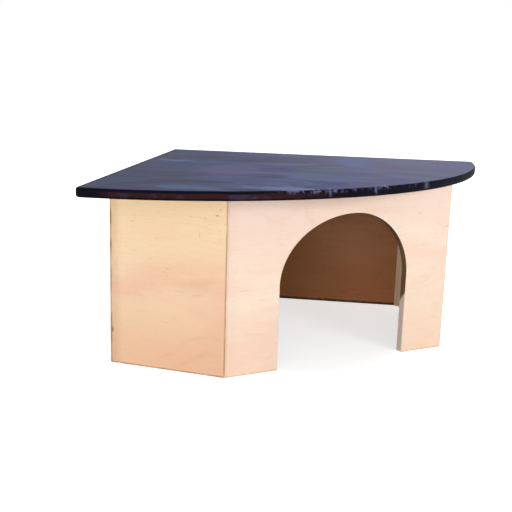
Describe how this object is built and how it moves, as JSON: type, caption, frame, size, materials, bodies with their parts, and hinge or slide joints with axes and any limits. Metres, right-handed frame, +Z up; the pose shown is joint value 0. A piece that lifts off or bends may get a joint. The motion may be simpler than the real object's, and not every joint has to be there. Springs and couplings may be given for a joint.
{
  "type": "corner hamster house",
  "caption": "Wooden corner house for a small pet: upright plywood panels with an arched doorway, open underneath, under a painted quarter-round roof.",
  "frame": {"origin": "middle of the square footprint of the roof, on the floor that the panels stand on", "axes": "+Z up, +Y towards the cage wall behind the back wall, +X to the right along the back wall"},
  "size_m": [0.212, 0.212, 0.105],
  "materials": {
    "roof_paint": "satin dark navy paint on board",
    "plywood": "bare sanded pale plywood",
    "block_wood": "bare planed softwood",
    "pin_steel": "bright drawn wire"
  },
  "bodies": {
    "root": {"roof_board": "roof_paint", "back_wall": "plywood", "left_wall": "plywood", "left_front_panel": "plywood", "doorway_panel": "plywood", "right_side_panel": "plywood", "back_left_block": "block_wood", "left_block": "block_wood", "front_block": "block_wood", "right_block": "block_wood", "back_right_block": "block_wood", "roof_pins": "pin_steel"}
  },
  "joints": []
}
